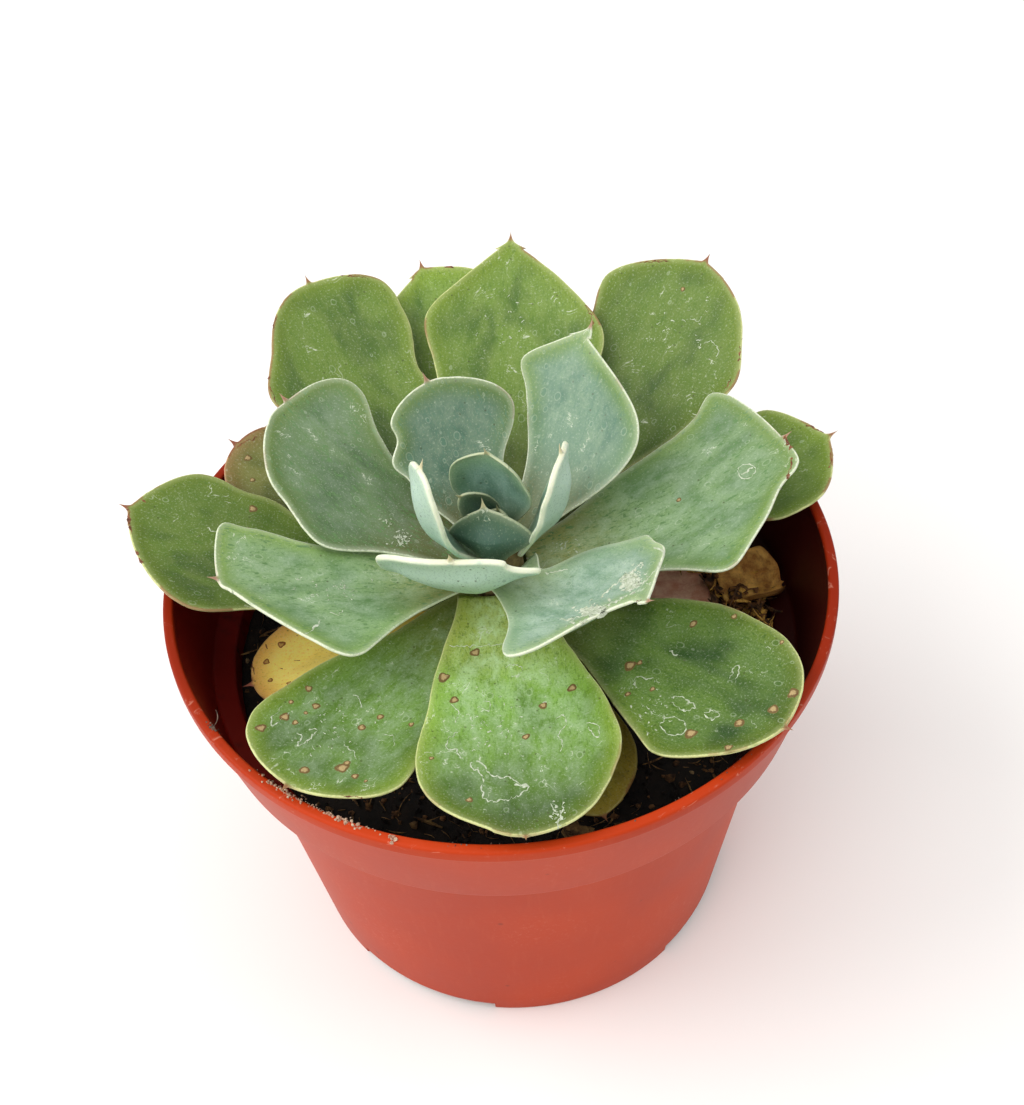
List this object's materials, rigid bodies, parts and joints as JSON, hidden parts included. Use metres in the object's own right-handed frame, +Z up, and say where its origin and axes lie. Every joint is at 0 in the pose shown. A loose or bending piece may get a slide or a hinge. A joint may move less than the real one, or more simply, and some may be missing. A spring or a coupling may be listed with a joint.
{
  "type": "potted echeveria",
  "caption": "Rosette succulent with thick waxy blue-green leaves and weathered outer leaves, growing in soil in a round terracotta-coloured plastic nursery pot.",
  "frame": {"origin": "middle of the pot's underside, on the surface that the pot stands on", "axes": "+Z up along the pot's axis; -Y is the front of the plant; +X is to the right seen from the front"},
  "size_m": [0.12, 0.1168, 0.1054],
  "materials": {
    "terracotta_plastic": "satin",
    "potting_soil": "matte",
    "stem_bark": "matte",
    "leaf_outer_green": "satin",
    "leaf_middle_green": "satin",
    "leaf_inner_green": "satin",
    "leaf_mustard": "satin",
    "leaf_olive": "satin",
    "leaf_dry_pink": "matte",
    "leaf_dry_gold": "matte"
  },
  "bodies": {
    "root": {"pot": "terracotta_plastic", "soil": "potting_soil", "stem": "stem_bark", "leaf_dry_felted": "leaf_dry_pink", "leaf_dry_low": "leaf_dry_pink", "leaf_dry_curled": "leaf_dry_gold", "leaf_old_yellow": "leaf_mustard", "leaf_old_olive": "leaf_olive", "leaf_outer_left": "leaf_outer_green", "leaf_outer_left_back": "leaf_outer_green", "leaf_outer_back_left": "leaf_outer_green", "leaf_outer_back_low": "leaf_outer_green", "leaf_outer_back": "leaf_outer_green", "leaf_outer_back_right": "leaf_outer_green", "leaf_outer_right": "leaf_outer_green", "leaf_outer_front_right": "leaf_outer_green", "leaf_outer_front": "leaf_outer_green", "leaf_outer_front_left": "leaf_outer_green", "leaf_middle_right": "leaf_middle_green", "leaf_middle_left": "leaf_middle_green", "leaf_middle_back_left": "leaf_middle_green", "leaf_middle_front_right": "leaf_middle_green", "leaf_middle_back_right": "leaf_middle_green", "leaf_middle_back": "leaf_middle_green", "leaf_inner_front": "leaf_inner_green", "leaf_inner_left": "leaf_inner_green", "leaf_inner_right": "leaf_inner_green", "leaf_inner_back": "leaf_inner_green", "leaf_bud_front": "leaf_inner_green", "leaf_bud_left": "leaf_inner_green", "leaf_bud_back": "leaf_inner_green"}
  },
  "joints": []
}
